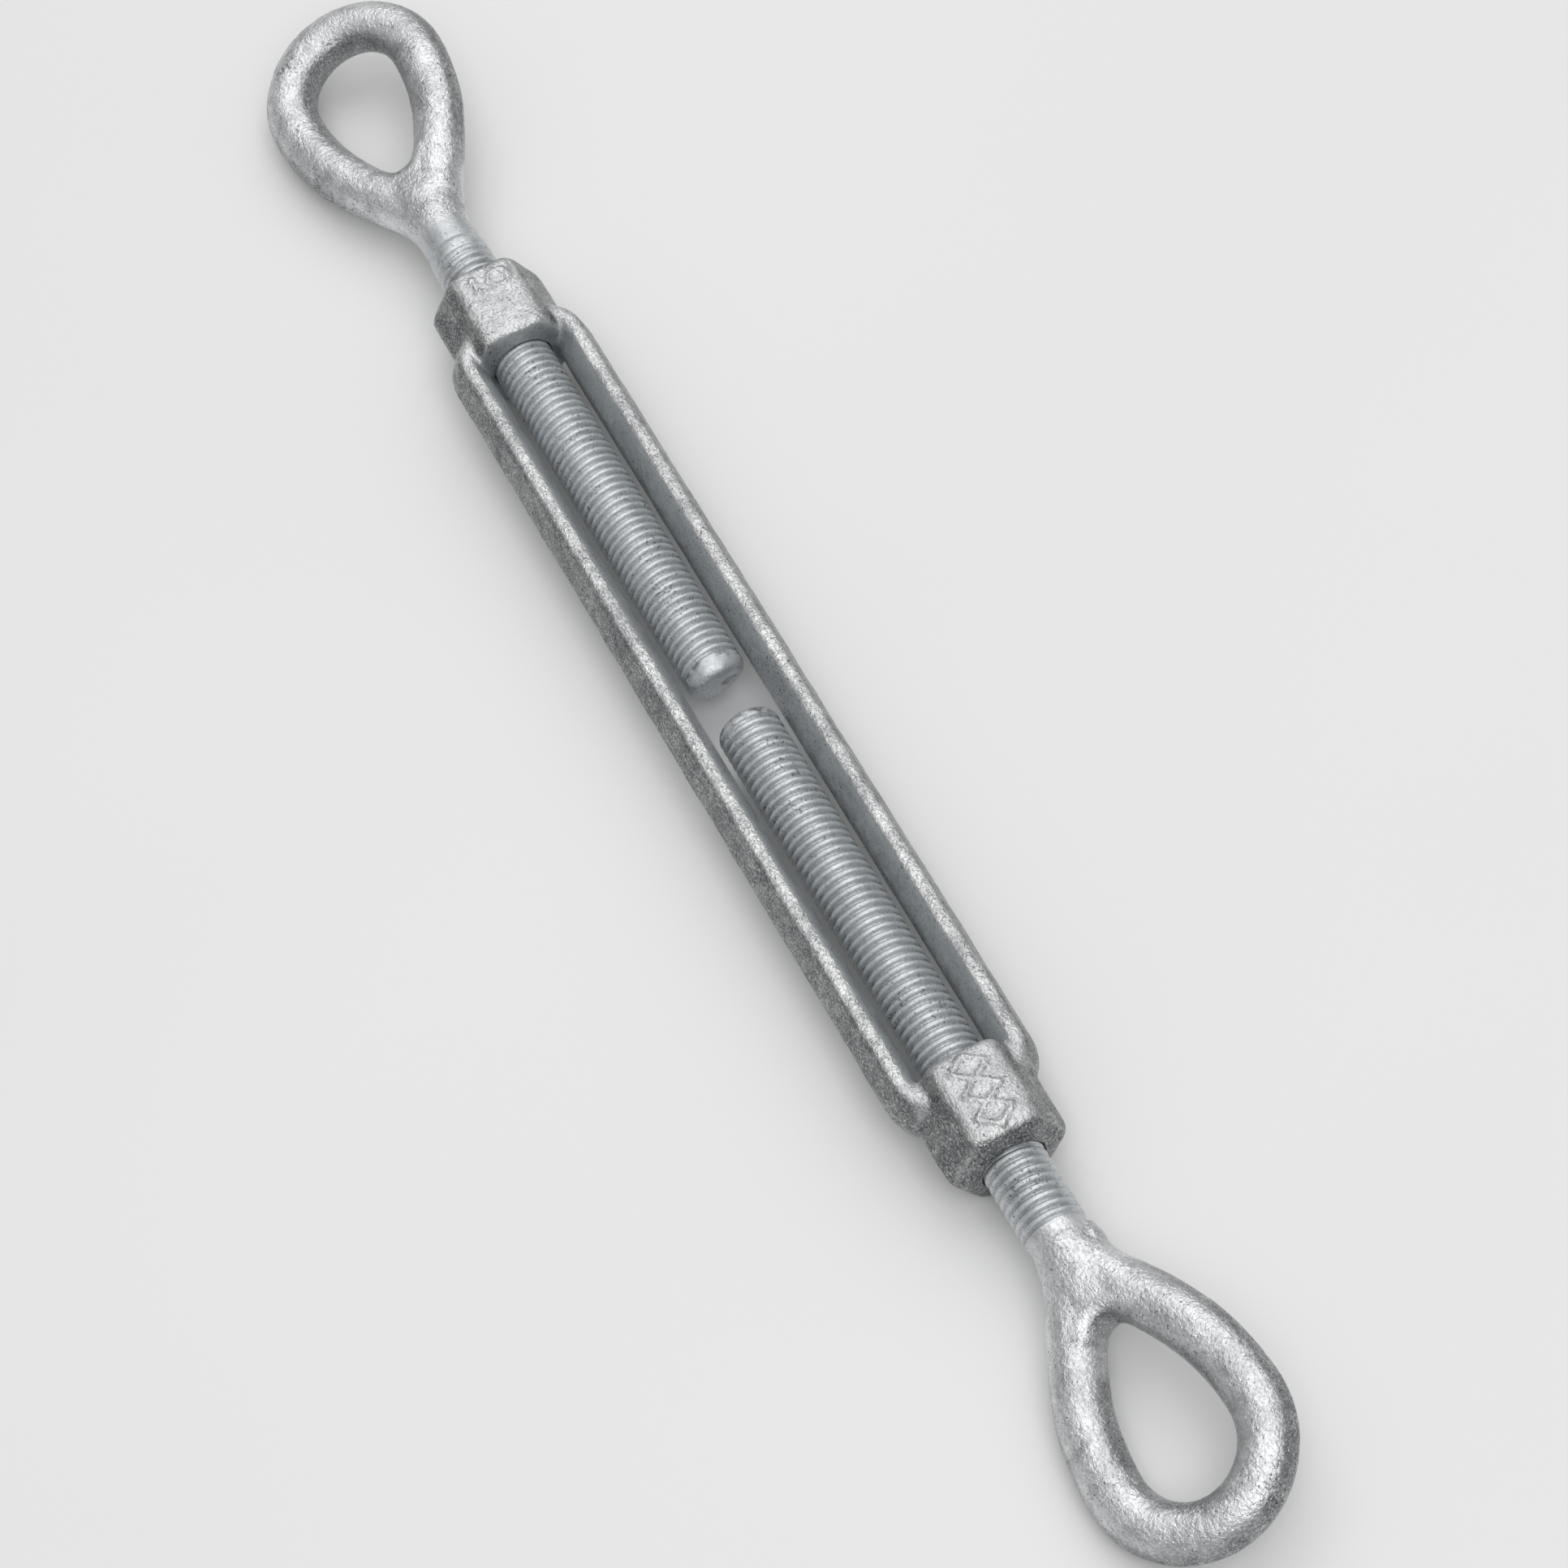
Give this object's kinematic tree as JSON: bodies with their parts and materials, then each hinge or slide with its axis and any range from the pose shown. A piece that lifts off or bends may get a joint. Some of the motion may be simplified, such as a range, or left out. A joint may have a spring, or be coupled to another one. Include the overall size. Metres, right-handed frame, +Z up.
{
  "type": "rigging turnbuckle",
  "caption": "Open-body eye-and-eye turnbuckle: a forged barrel with two side bars between threaded bosses, and a right-hand and a left-hand eye bolt.",
  "frame": {"origin": "on the pull axis, at mid-length of the barrel", "axes": "+X along the pull axis, towards the eye bolt with the left-hand thread; +Z up from a flat surface that the turnbuckle lies on by itself, with the barrel leaning 3.9 degrees about X"},
  "size_m": [0.4766, 0.048, 0.0258],
  "materials": {
    "galvanised_forging": "hot-dip galvanised over drop-forged steel, pebbled and part dull",
    "galvanised_eye_bolt": "hot-dip galvanised over drop-forged steel, brighter than the barrel, thread smoother"
  },
  "bodies": {
    "barrel": {"barrel": "galvanised_forging"},
    "right_hand_eye_bolt": {"right_hand_eye_bolt": "galvanised_eye_bolt"},
    "left_hand_eye_bolt": {"left_hand_eye_bolt": "galvanised_eye_bolt"}
  },
  "joints": [
    {"name": "right_hand_take_up", "type": "slide", "parent": "barrel", "child": "right_hand_eye_bolt", "axis": [-1, 0, 0], "range_m": [-0.0055, 0.1045]},
    {"name": "left_hand_take_up", "type": "slide", "parent": "barrel", "child": "left_hand_eye_bolt", "axis": [1, 0, 0], "range_m": [-0.0055, 0.1045]}
  ],
  "couplings": [
    {"joint": "left_hand_take_up", "follows": "right_hand_take_up", "ratio": 1}
  ]
}
